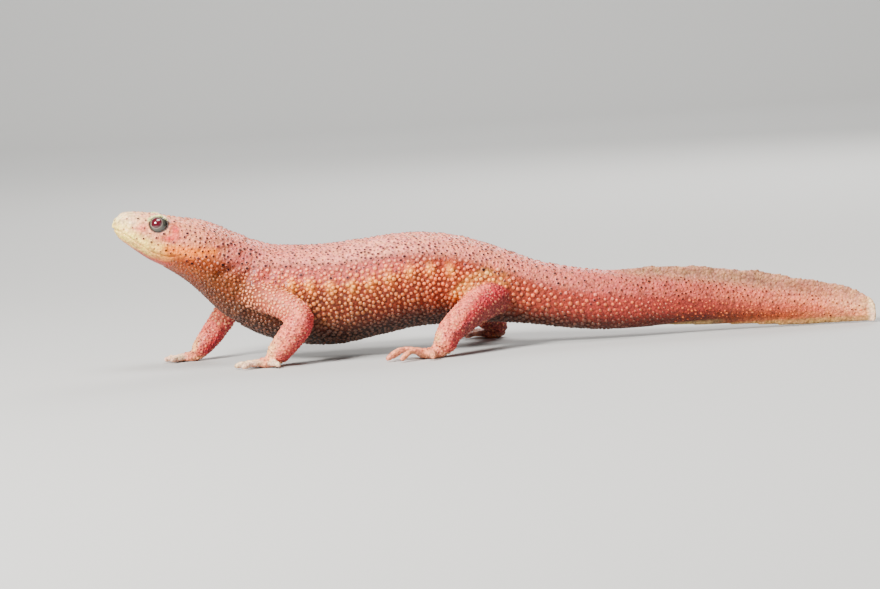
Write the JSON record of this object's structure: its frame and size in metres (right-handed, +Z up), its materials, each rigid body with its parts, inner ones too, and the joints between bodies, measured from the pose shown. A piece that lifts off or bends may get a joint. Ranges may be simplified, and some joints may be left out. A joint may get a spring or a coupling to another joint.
{
  "type": "iberian ribbed newt",
  "caption": "Life-size still model of a pale ribbed newt standing with its head raised, warty pink back, golden granular flanks, finned tail laid on the floor.",
  "frame": {"origin": "on the floor under the middle of the animal's outline seen from above", "axes": "+X towards the tail, the head at -X, the animal's left side at -Y, +Z up"},
  "size_m": [0.1768, 0.0528, 0.0372],
  "materials": {
    "head_skin": "moist warty skin, cream snout to orange cheek",
    "trunk_skin": "moist warty skin, pink back and golden granular flanks",
    "tail_skin": "moist granular skin, pink red",
    "limb_skin": "moist skin with fine dark specks",
    "foot_skin": "smooth pale skin",
    "fin_skin": "thin soft skin, grey beige with fine dots",
    "eyes": "wet and glossy"
  },
  "bodies": {
    "root": {"eye_left": "eyes", "eye_right": "eyes", "front_leg_left_foot": "foot_skin", "front_leg_left_lower": "limb_skin", "front_leg_left_upper": "limb_skin", "front_leg_right_foot": "foot_skin", "front_leg_right_lower": "limb_skin", "front_leg_right_upper": "limb_skin", "head": "head_skin", "hind_leg_left_foot": "foot_skin", "hind_leg_left_lower": "limb_skin", "hind_leg_left_upper": "limb_skin", "hind_leg_right_foot": "foot_skin", "hind_leg_right_lower": "limb_skin", "hind_leg_right_upper": "limb_skin", "lower_jaw": "head_skin", "neck": "trunk_skin", "tail_base": "tail_skin", "tail_end": "tail_skin", "tail_fin_lower": "fin_skin", "tail_fin_upper": "fin_skin", "tail_middle": "tail_skin", "torso_front": "trunk_skin", "torso_middle": "trunk_skin", "torso_rear": "trunk_skin"}
  },
  "joints": []
}
